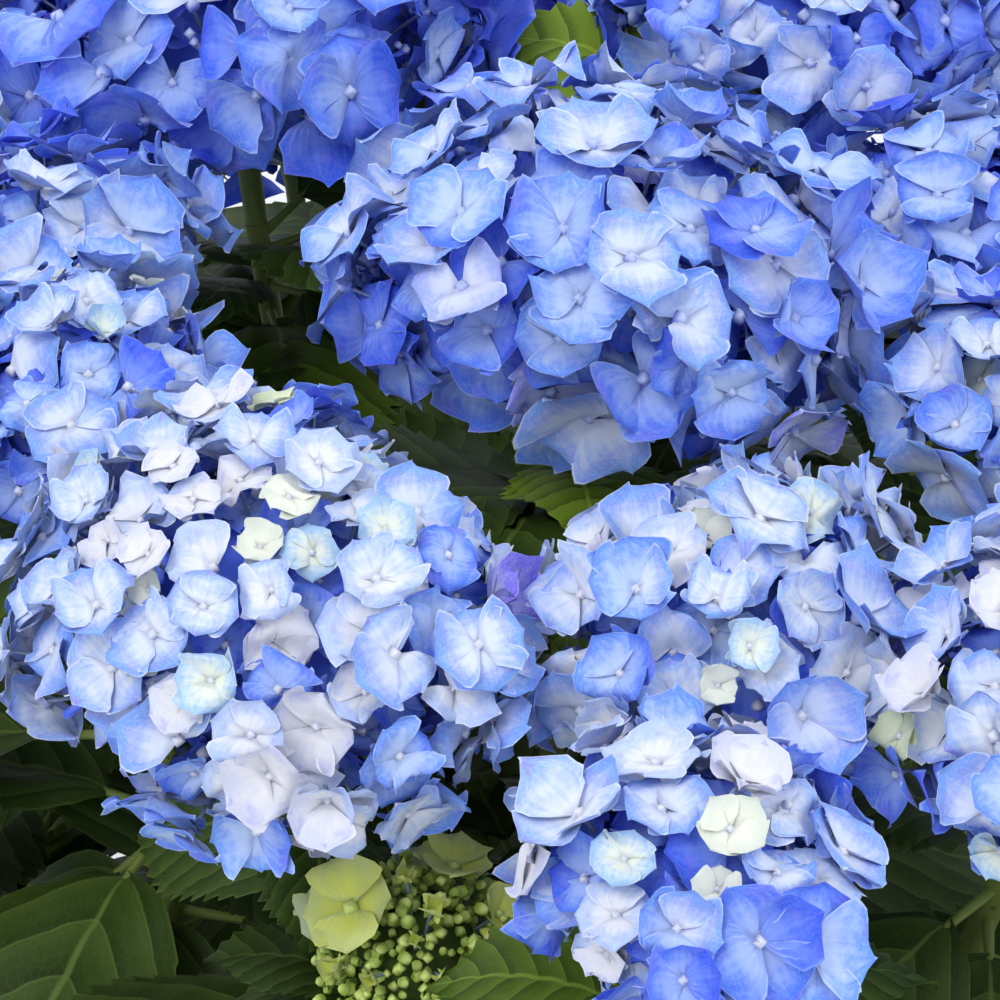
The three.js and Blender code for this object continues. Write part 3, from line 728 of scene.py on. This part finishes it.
# A layer of florets on a golden spiral over the head's dome, sized so that they overlap.
def floretLayer(head, colour, size, depths, spacing, seed):
    draws = np.random.default_rng(seed)
    radius, wrap = head["radius"], math.radians(floretLook["wrap"])
    area = 2 * math.pi * radius ** 2 * (1 - math.cos(wrap)) * floretLook["cover"]
    count = max(int(area / (size * spacing) ** 2), 12)
    i = np.arange(count)
    angle = np.arccos(1 - (1 - math.cos(wrap)) * (i + 0.5) / count)
    turn = i * golden + draws.normal(0, floretLook["turnWander"], count)
    out, ring, high = domeOut(head, angle, turn)
    normal = unit(ring * (np.sin(angle) / radius)[:, None] + head["axis"] * (np.cos(angle) / high)[:, None])
    normal = unit(normal + draws.normal(0, floretLook["tilt"], (count, 3)))
    # Neighbours stand at different depths, so that they lie over one another like shingles.
    depth = np.array(depths)[i % len(depths)] - floretLook["depthWander"] * draws.random(count)
    depth = depth * dented(head, out)
    eye = head["middle"] + out * depth[:, None]
    # Each head keeps to its own side of the plane between it and a neighbour.
    keep = np.ones(count, bool)
    for other in heads:
        away = other["middle"] - head["middle"]
        between = np.linalg.norm(away)
        if 0 < between < (radius + other["radius"]) * 1.45:
            share = radius / (radius + other["radius"])
            keep &= (eye - head["middle"]) @ (away / between) < between * share - size * 0.1
    odds = np.array([[row.get(name, 0) for name in toneNames] for row in dealt[colour]], float)
    odds = odds / odds.sum(1, keepdims=True)
    odds = odds[0] + (odds[1] - odds[0]) * ((angle / wrap)[:, None] ** 1.3)
    tone = (draws.random(count)[:, None] > np.cumsum(odds, 1)).sum(1)
    tone = np.minimum(tone, len(toneNames) - 1)
    share = np.array([toneSizes.get(name, 1.08) for name in toneNames])[tone]
    layer = {"eye": eye, "normal": normal, "tone": tone, "spin": draws.random(count) * math.pi,
             "size": size * (0.8 + 0.4 * draws.random(count)) * share / 2,
             "shape": draws.normal(0, 1, (count, 4)), "rank": depth + 0.001 * draws.random(count),
             "close": draws.uniform(0, floretLook["close"], count)}
    return {key: values[keep] for key, values in layer.items()}


# The young head's few florets: a direction from its middle, width, and an open one's tone.
# The others are curled and opening.
youngFlorets = (
    (-0.7, -0.2, 0.7, 30, "young"), (0.4, 0.45, 0.8, 25, "young"), (-0.9, 0.3, 0.4, 27, "unripe"),
    (0.1, 0.85, 0.52, 26, "unripe"), (0.9, 0.2, 0.36, 18, "young"), (-0.1, -0.1, 0.98, 10),
    (0.18, -0.5, 0.83, 12), (-0.84, -0.52, 0.16, 12), (0.3, -0.9, 0.25, 10), (-0.3, 0.5, 0.8, 10),
    (0.8, -0.45, 0.4, 10), (0.7, 0.66, 0.2, 14), (-0.7, 0.7, 0.1, 16, "young"),
    (-0.46, -0.85, 0.2, 9), (0.0, -0.75, 0.6, 8),
)


def youngHead(head, seed):
    draws = np.random.default_rng(seed)
    count = len(youngFlorets)
    way = unit([row[:3] for row in youngFlorets])
    curled = np.array([len(row) < 5 for row in youngFlorets])
    shape = draws.normal(0, 0.6, (count, 4))
    shape[curled] = (1.2, -0.6, 1.2, -1.5)
    normal = unit(way + 0.8 * unit([0, -0.9, 0.6]) + draws.normal(0, 0.12, way.shape))
    return {"eye": head["middle"] + way * head["radius"] * 0.86, "normal": normal,
            "tone": np.array([toneNames.index((*row, "young")[4]) for row in youngFlorets]),
            "spin": draws.random(count) * math.pi, "shape": shape, "rank": -np.arange(count) * 0.01,
            "close": np.where(curled, 0.7, 0.12), "size": np.array([row[3] for row in youngFlorets]) / 2}


# The outer florets, and fewer below them that close the gaps, their tones painted deeper as the shade between
# the outer ones.
def headFlorets(head, colour, size, seed):
    if colour == "lime":
        return youngHead(head, seed)
    spacing = floretLook["spacing"]
    top = floretLayer(head, colour, size, floretLook["depths"], spacing, seed)
    below = floretLayer(head, colour, size, (floretLook["under"],), spacing * floretLook["underSpacing"],
                        seed + 50)
    # Painted shade: a floret below is some tones deeper, up to deep, for the shaded blue in the gaps.
    deeper = np.minimum(below["tone"] + floretLook["underShadeSteps"], deepest)
    below["tone"] = np.where(below["tone"] < deepest, deeper, below["tone"])
    below["shape"] *= floretLook["underShape"]
    return {key: np.concatenate([top[key], below[key]]) for key in top}


# Sepals of many florets at once: (florets, 4, rows, columns) points. A sepal rises from the
# eye, cups across its width, curls at its tip, twists and ripples, and its edge is uneven.
def sepalGrid(f, rows, columns, seed):
    draws = np.random.default_rng(seed)
    count = len(f["eye"])

    def each(low, high):
        return draws.uniform(low, high, (count, 4))[..., None, None]

    along, v = np.linspace(0, 1, rows) ** 0.86, np.linspace(-1, 1, columns)
    u = along[:, None]
    eye, size, shape, close = (f[key][:, None, None, None] for key in ("eye", "size", "shape", "close"))
    length = size * each(0.88, 1.1)
    uneven = 1 + draws.normal(0, floretLook["edge"], (count, 4, rows, columns)) * (np.abs(v) > 0.99)
    half = floretLook["sepalHalf"] + 0.07 * np.tanh(shape[..., 3])
    half = sepalOutline(u) * half * each(0.92, 1.1) * uneven
    rise = np.maximum(floretLook["rise"] * (1 + 0.8 * shape[..., 0]) + each(-0.04, 0.04), 0.03)
    curl = floretLook["curl"] * (0.5 + 1.1 * shape[..., 1]) + each(-0.06, 0.06)
    cup = floretLook["cup"] * (0.5 + 0.6 * shape[..., 2]) + each(-0.15, 0.15)
    lift = np.array([1, 0, 1, 0])[:, None, None] * (floretLook["lift"] + floretLook["liftOut"] * u)
    phase = each(0, 6.3)
    ripple = floretLook["ripple"] * np.sin(u * 7 + phase + 2.4 * v) * np.abs(v) ** 1.5
    height = (rise * u - curl * u ** 3 + cup * (half * v) ** 2 + ripple + lift
              + each(-0.1, 0.1) * half * v * u + 0.08 * np.abs(half * v) + 0.03 + 0.9 * close * u)
    normal = f["normal"][:, None]
    angle = f["spin"][:, None] + np.arange(4) * math.pi / 2 + draws.normal(0, 0.05, (count, 4))
    out = about(normal, angle)
    side = np.cross(normal, out)
    point = (eye + out[:, :, None, None] * (u * (1 - close * u) * length)[..., None]
             + side[:, :, None, None] * (half * v * length)[..., None]
             + normal[:, :, None, None] * (height * length)[..., None])
    # Now and then one sepal of a blue floret is a step deeper than the rest.
    tone = np.broadcast_to(f["tone"][:, None], (count, 4))
    chance = draws.random((count, 4))
    tone = np.where((chance < floretLook["deeperOdds"]) & (tone < deepest), tone + 1, tone)
    return point, tilePlace(tone, toneTiles, along, v)


# Florets pressed under the ones that stand higher: whatever comes up through a higher
# floret's own surface is laid just below it. Gives the settled points, the eyes and which
# sepals stay; one that would have to bend too far is left out.
def settle(f, grid):
    count = len(grid)
    beadTops = f["normal"] * f["size"][:, None] * floretLook["beadTop"]
    points = np.concatenate([grid.reshape(count, -1, 3), (f["eye"] + beadTops)[:, None]], 1)
    moved = np.zeros(points.shape[:2])
    rises = np.maximum(floretLook["rise"] * (1 + 0.8 * f["shape"][:, 0]), 0.03)
    curls = floretLook["curl"] * (0.5 + 1.1 * f["shape"][:, 1])
    for i in np.argsort(f["rank"]):
        apart = np.linalg.norm(f["eye"] - f["eye"][i], axis=1)
        lower = np.flatnonzero((f["rank"] < f["rank"][i]) & (apart < (f["size"] + f["size"][i]) * 1.2))
        away = points[lower] - f["eye"][i]
        height = away @ f["normal"][i]
        level = np.sqrt(np.maximum(np.sum(away ** 2, -1) - height ** 2, 0)) / f["size"][i]
        surface = rises[i] * level - curls[i] * np.minimum(level, 1) ** 3 - floretLook["below"]
        surface = (surface + 2.2 * np.maximum(level - 0.95, 0)) * f["size"][i]
        over = np.maximum(height - surface, 0) * (level < 1.3)
        points[lower] -= over[..., None] * f["normal"][i]
        moved[lower] += over
    keep = moved[:, :-1].reshape(count * 4, -1).max(1) < floretLook["farthest"]
    return points[:, :-1].reshape(grid.shape), points[:, -1] - beadTops, keep


def sepalMaterial():
    shader = Shader("sepals")
    step, mix, noise = shader.step, shader.mix, shader.noise
    tone, u, v = tileNodes(shader, toneTiles)
    heart, tip = (shader.bands(tone, [rgb(*pair[end]) for pair in petalTones.values()]) for end in (0, 1))
    far = abs(v)
    # The heart's colour runs out toward the tip in blotches and in streaks that fan out.
    blotch = noise(17.0, 3.0) * 0.9 - 0.45
    streak = noise(1.0, 1.5, shader.drawnOut(58.0, 6.0)) * 0.52 - 0.26
    colour = mix(step(far * 0.3 + u + blotch + streak, 0.22, 1.0), heart, tip)
    # A violet flush in places toward the tip, veins that fan out from the heart, a fine
    # grain and a thin pale rim.
    flush = step(noise(11.0, 2.0), 0.5, 0.66) * 0.62 * step(u, 0.3, 1.0)
    blue = shader.bands(tone, [(float(name not in greenTones),) * 3 for name in toneNames])
    colour = mix(flush * blue, colour, rgb(134, 116, 232))
    fan = abs(shader.math("SINE", v * 13.0 + blotch * 1.5))
    colour = mix((1 - step(fan, 0.0, 0.45)) * (u * -0.2 + 0.3), colour, heart)
    colour = mix(step(noise(90.0, 3.0), 0.4, 0.7) * 0.26, colour, heart)
    # Fine pale rays out of the eye, and round it a dim ring of painted shade, the bead's painted shadow.
    rays = (1 - step(fan + u * 2.2, 0.2, 1.1)) * (step(blotch, -0.2, 0.2) * 0.5)
    colour = mix(rays, colour, rgb(222, 228, 246))
    colour = mix((1 - step(u, 0.1, 0.2)) * 0.6, colour, mix(0.4, heart, rgb(96, 110, 150)))
    edge = shader.math("MAXIMUM", step(far, 0.93, 0.99), step(u, 0.965, 0.995))
    return shader.finish(mix(edge * 0.75, colour, heart), 0.6, specular=0.2, sheen=0.1)


def ringNames(colour):
    return tuple(head["name"] for head in heads[len(seenHeads):] if head["look"][0] == colour)


# Each piece's slot and heads.
groups = {
    "sepalsPale": ("bloom_pale", ("front_left", "front_right")),
    "sepalsPaleLow": ("bloom_pale", ("far_right", "low")),
    "sepalsPaleRing": ("bloom_pale", ringNames("pale")),
    "sepalsMid": ("bloom_mid", ("centre", "back_right")),
    "sepalsMidSide": ("bloom_mid", ("right", "left", "left_low", "right_mid")),
    "sepalsMidRing": ("bloom_mid", ringNames("mid")),
    "sepalsDeep": ("bloom_deep", ("back_left", *ringNames("deep"))),
    "sepalsLime": ("bloom_lime", ("young",)),
}
# Unopened buds among the florets, in small clusters, deep in an open head and up to the
# surface of the young one.
buds = {"open": {"clusters": 14, "each": 5, "spread": 3.0, "depth": (0.64, 0.76), "size": (1.5, 2.3)},
        "young": {"clusters": 60, "each": 7, "spread": 3.0, "depth": (0.6, 0.96), "size": (1.2, 2.3)},
        "wrap": 1.25, "firstTurn": 2, "tilt": 20, "seed": 8000}


def budSpots(head, kind, tone, seed):
    draws = np.random.default_rng(seed)
    clusters, each = kind["clusters"], kind["each"]
    angle = np.arccos(1 - buds["wrap"] * (np.arange(clusters) + 0.5) / clusters)
    way = domeOut(head, angle, np.arange(clusters) * golden + buds["firstTurn"])[0]
    middle = head["middle"] + way * (dented(head, way) * draws.uniform(*kind["depth"], clusters))[:, None]
    spots = np.repeat(middle, each, 0)
    spots = spots + draws.normal(0, kind["spread"], spots.shape)
    normal = unit(np.repeat(way, each, 0) + draws.normal(0, buds["tilt"], spots.shape))
    size = draws.uniform(*kind["size"], len(spots))
    return {"eye": spots, "normal": normal, "size": size, "tone": np.full(len(spots), tone)}


def joined(rows):
    return {key: np.concatenate([row[key] for row in rows]) for key in rows[0]}


# A bead sits at each floret's eye, and a thin stalk bends up to it from the head's hub.
beadLook = {"size": 0.14, "youngSize": 0.2, "blueHeads": ("deep", "mid", "lilac")}
pedicelLook = {"hub": 0.34, "bend": 0.55, "sink": 3, "radii": (1.1, 0.8, 0.7), "sides": 3}
byName = {head["name"]: (i, head) for i, head in enumerate(heads)}
sepalPaint = sepalMaterial()
beads, budsOf, pedicels = [], [], []
for group, (_, names) in groups.items():
    points, places, faces, offset = [], [], [], 0
    for name in names:
        i, head = byName[name]
        colour, size, rows, columns = head["look"]
        florets = headFlorets(head, colour, size, floretLook["seed"] + i)
        grid, uv = sepalGrid(florets, rows, columns, floretLook["sepalSeed"] + i)
        grid, eye, keep = settle(florets, grid)
        faces.append(gridFaces(keep.sum(), rows, columns) + offset)
        points.append(grid.reshape(-1, rows * columns, 3)[keep].reshape(-1, 3))
        places.append(uv.reshape(-1, rows * columns, 2)[keep].reshape(-1, 2))
        offset += len(points[-1])
        kind = "young" if name == "young" else "open"
        tone = 1 if kind == "young" else 2 if colour in beadLook["blueHeads"] else 0
        wide = florets["size"] * beadLook["youngSize" if kind == "young" else "size"]
        beads.append({"eye": eye, "normal": florets["normal"], "size": wide, "tone": np.full(len(eye), tone)})
        if i < len(seenHeads):
            budsOf.append(budSpots(head, buds[kind], tone, buds["seed"] + i))
        hub = head["middle"] - head["axis"] * head["radius"] * pedicelLook["hub"]
        bend = hub + (eye - hub) * pedicelLook["bend"] - florets["normal"] * pedicelLook["sink"]
        pedicels.append(np.stack([np.broadcast_to(hub, eye.shape), bend, eye], 1))
    meshPiece(group, *map(np.concatenate, (points, faces)), sepalPaint, np.concatenate(places))
beads, budsOf, pedicels = joined(beads), joined(budsOf), np.concatenate(pedicels)
tell(f"{len(pedicels)} florets and {len(budsOf['eye'])} buds")


# Eyes, stalks and cores. Tones are an open head's, the young one's and a blue one's.
def beadMaterial():
    shader = Shader("beads")
    tone, u, _ = tileNodes(shader, (2, 2))
    top = shader.bands(tone, [rgb(220, 222, 232), rgb(208, 224, 132), *[rgb(188, 200, 236)] * 2])
    foot = shader.bands(tone, [rgb(146, 156, 196), rgb(144, 166, 70), *[rgb(104, 124, 206)] * 2])
    # Each bead and bud is darker toward its foot: painted shade under it.
    return shader.finish(shader.mix(shader.step(u, 0.2, 0.9), foot, top), 0.5)


# Small balls of four lobes: the ring's radius dips by the sine squared of twice the turn.
def lobedBalls(name, spots, rows, columns):
    down = np.linspace(0.75 * math.pi, 0.05, rows)[:, None]
    spin = np.linspace(0, 2 * math.pi, columns, endpoint=False)
    ring = np.sin(down) * (1 - 0.26 * np.sin(2 * spin) ** 2)
    high = np.cos(down) * 0.9 + 0.35 + 0 * spin
    normal = spots["normal"][:, None, None]
    local = about(normal, spin) * ring[..., None] + normal * high[..., None]
    grid = spots["eye"][:, None, None] + local * spots["size"][:, None, None, None]
    roundPiece(name, grid, beadPaint, spots["tone"])


beadPaint = beadMaterial()
lobedBalls("floretEyes", beads, 4, 8)
lobedBalls("buds", budsOf, 5, 8)
gridPiece("floretStalks", tubeGrid(pedicels, pedicelLook["radii"], pedicelLook["sides"]),
          plainPaint("pedicels", rgb(134, 152, 180), 0.6))

# Inside each head a shell of painted shade, where only the head's shaded depths show, and the stalk below it.
coreLook = {"size": 0.6, "wrap": 118, "rows": 8, "columns": 14, "stalkTop": 0.3, "stalkSides": 10,
            "stalkSwell": (1, 1, 1.3)}


# Painted shade: a saturated blue for an open head's shaded depths, a dark green for the young head's.
def coreMaterial():
    shader = Shader("headCore")
    tone, _, _ = tileNodes(shader, (2, 1))
    return shader.finish(shader.bands(tone, [rgb(98, 130, 255), rgb(60, 78, 30)]), 0.9)


coreGrid = []
for head in heads:
    angle = np.linspace(0.02, math.radians(coreLook["wrap"]), coreLook["rows"])[:, None]
    out = domeOut(head, angle, np.linspace(0, 2 * math.pi, coreLook["columns"], endpoint=False))[0]
    coreGrid.append(head["middle"] + out * (coreLook["size"] * dented(head, out))[..., None])
coreTones = [int(head["name"] == "young") for head in heads]
roundPiece("headCores", np.array(coreGrid), coreMaterial(), coreTones, (2, 1))

feet = np.array([head["foot"] for head in heads])
tops = middles - axes * (radii * coreLook["stalkTop"])[:, None]
stalkRadii = plan["stalkRadius"] * np.array(coreLook["stalkSwell"])
headStalks = tubeGrid(np.stack([feet, (feet + tops) / 2, tops], 1), stalkRadii, coreLook["stalkSides"])
roundPiece("headStalks", headStalks, stemPaint, 1)

# Bark.
barkLook = {"rows": 60, "columns": 26, "caneTile": 0.06, "strips": 0.28, "knots": (0.22, 0.47, 0.71, 0.93),
            "knotHeight": 0.9, "knotLength": 0.02, "seed": 12}


def barkMaterial():
    shader = Shader("bark")
    strips = shader.noise(9.0, 6.0, shader.drawnOut(18.0, 1.6))
    colour = shader.mix(shader.step(strips, 0.35, 0.65), rgb(92, 74, 58), rgb(164, 142, 116))
    colour = shader.mix(shader.step(strips, 0.62, 0.72), colour, rgb(112, 82, 60))
    return shader.finish(colour, 0.92, specular=0.15)


# A map that is drawn out along the piece, in a strip of its own.
def barkPlace(x, width, columns, y):
    return np.stack(np.broadcast_arrays(x + width * mirrored(columns), y[:, None]), -1)


barkPaint = barkMaterial()
rows, columns = barkLook["rows"], barkLook["columns"]
ts = np.linspace(0, 1, rows)
caneMiddles = np.stack([cane["curve"].point(ts) for cane in canes])
caneWidths = plan["caneFootRadius"] + (plan["caneTipRadius"] - plan["caneFootRadius"]) * ts
grid = tubeGrid(caneMiddles, caneWidths, columns)
# Bark in long strips: the skin steps in and out round the cane, with knots along it.
t, turn = ts[:, None], np.linspace(0, 2 * math.pi, columns, endpoint=False)
phase = np.random.default_rng(barkLook["seed"]).random((len(canes), 1, 1)) * 6.3
strip = np.sin(turn * 5 + phase + 2.2 * np.sin(t * 9 + phase)) + 0.6 * np.sin(turn * 9 - phase + t * 14)
knot = sum(np.exp(-((t - at) / barkLook["knotLength"]) ** 2) for at in barkLook["knots"])
relief = barkLook["strips"] * strip + barkLook["knotHeight"] * knot * (0.6 + 0.4 * np.cos(2 * turn + phase))
ends = np.minimum(1, np.minimum(t, 1 - t) * 30)
grid = grid + unit(grid - caneMiddles[:, :, None]) * (relief * ends)[..., None]
# Both cut ends are drawn in to their middle.
for end in (0, -1):
    middle = caneMiddles[:, end, None]
    grid[:, end] = middle + (grid[:, end] - middle) * 0.02
tile = barkLook["caneTile"]
caneStarts = (np.arange(len(canes))[:, None, None] + 0.5) * tile
gridPiece("caneBark", grid, barkPaint, barkPlace(caneStarts, 0.45 * tile, columns, 0.02 + 0.96 * ts))

# The root crown: flared, swollen below each cane and ridged, with a rounded top.
crownLook = {"flare": 52, "neck": 39, "top": 64, "swelling": 0.12, "rows": 26, "columns": 84}
h = np.linspace(0, 1, crownLook["rows"])[:, None]
turn = np.linspace(0, 2 * math.pi, crownLook["columns"], endpoint=False)
profile = crownLook["neck"] + (crownLook["flare"] - crownLook["neck"]) * np.clip(1 - h / 0.42, 0, 1) ** 1.4
profile = profile * np.sqrt(np.clip(1 - np.clip((h - 0.62) / 0.38, 0, 1) ** 2, 0, 1))
swell = 1 + crownLook["swelling"] * (1 - 0.6 * h) * np.cos(plan["outerCanes"] * (turn + math.pi / 2))
ridges = 1.1 * np.sin(turn * 23 + 3 * np.sin(h * 7 + 2 * turn)) + 0.7 * np.sin(turn * 41 + h * 5)
out = profile * swell + ridges * np.minimum(1, profile / 20)
crown = np.stack([out * np.cos(turn), out * np.sin(turn), crownLook["top"] * h * np.ones_like(turn)], -1)
crown = np.concatenate([np.zeros((1, crownLook["columns"], 3)), crown])[None]
crownRows = 0.02 + 0.2 * np.linspace(0, 1, crownLook["rows"] + 1)
gridPiece("crownBark", crown, barkPaint, barkPlace(0.75, 0.23, crownLook["columns"], crownRows))

# Bodies and nodes: every piece goes on the root body, and the solids' own parts are hidden. The slots are
# listed but not given.
slots = {"bark": ("crownBark", "caneBark"), "bloom_mid": ("floretEyes",), "bloom_lime": ("buds",),
         "bloom_deep": ("headCores",),
         "foliage": ("leavesFront", "leavesBack", "greenStems", "greenForks", "leafStalks",
                     "floretStalks", "headStalks")}
for piece in pieces.values():
    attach(piece, "root")
for group, (slot, names) in groups.items():
    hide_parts(*(f"bloom_{name}" for name in names))
for slot, names in slots.items():
    for name in names:
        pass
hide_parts(*(f"branch_{cane['name']}" for cane in canes))
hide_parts(*(f"cane_{cane['name']}" for cane in canes))
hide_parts("root_crown")

# Floor, light and camera.
floorLook = {"half": 7.0, "down": 0.0005, "colour": (0.8, 0.8, 0.79), "roughness": 0.9}
floor = bpy.data.objects.new("floor", bpy.data.meshes.new("floor"))
corners = [(x * floorLook["half"], y * floorLook["half"], -floorLook["down"])
           for x, y in ((-1, -1), (1, -1), (1, 1), (-1, 1))]
floor.data.from_pydata(corners, [], [(0, 1, 2, 3)])
floor.data.materials.append(plainPaint("floorPaint", floorLook["colour"], floorLook["roughness"]))
scene.collection.objects.link(floor)

world = bpy.data.worlds.new("studio")
scene.world = world
world.use_nodes = True
world.node_tree.nodes["Background"].inputs[0].default_value = (0.92, 0.96, 1.0, 1)
world.node_tree.nodes["Background"].inputs[1].default_value = 1.0


def placed(name, data, place, target):
    item = bpy.data.objects.new(name, data)
    item.location = place
    item.rotation_euler = (Vector(target) - Vector(place)).to_track_quat("-Z", "Y").to_euler()
    scene.collection.objects.link(item)
    return item


# name, place, target, size, power, colour
for name, place, target, size, power, colour in (
        ("key", (-0.9, -1.6, 2.4), (0, -0.15, 0.5), 1.0, 21, (1.0, 0.97, 0.92)),
        ("fill", (1.8, -1.2, 1.4), (0, -0.1, 0.5), 1.6, 8, (0.97, 0.98, 1.0)),
        ("back", (0.4, 2.2, 2.0), (0, 0, 0.5), 1.4, 10, (1.0, 1.0, 1.0))):
    light = bpy.data.lights.new(name, "AREA")
    light.shape, light.size, light.energy, light.color = "SQUARE", size, power, colour
    placed(name, light, place, target)

view = {"target": (0.0, -0.150, 0.575), "elevation": 24.0, "distance": 1.0, "lens": 120.0}
slope, target = math.radians(view["elevation"]), Vector(view["target"])
place = target + Vector((0, -math.cos(slope), math.sin(slope))) * view["distance"]
camera = placed("camera", bpy.data.cameras.new("camera"), place, target)
camera.data.lens, camera.data.sensor_width = view["lens"], 36.0
camera.data.clip_start, camera.data.clip_end = 0.02, 50.0
scene.camera = camera
scene.view_settings.view_transform = "Standard"
# Samples stop early where the picture is already smooth.
scene.cycles.adaptive_threshold = 0.05
scene.cycles.adaptive_min_samples = 20

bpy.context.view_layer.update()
tell("ready")
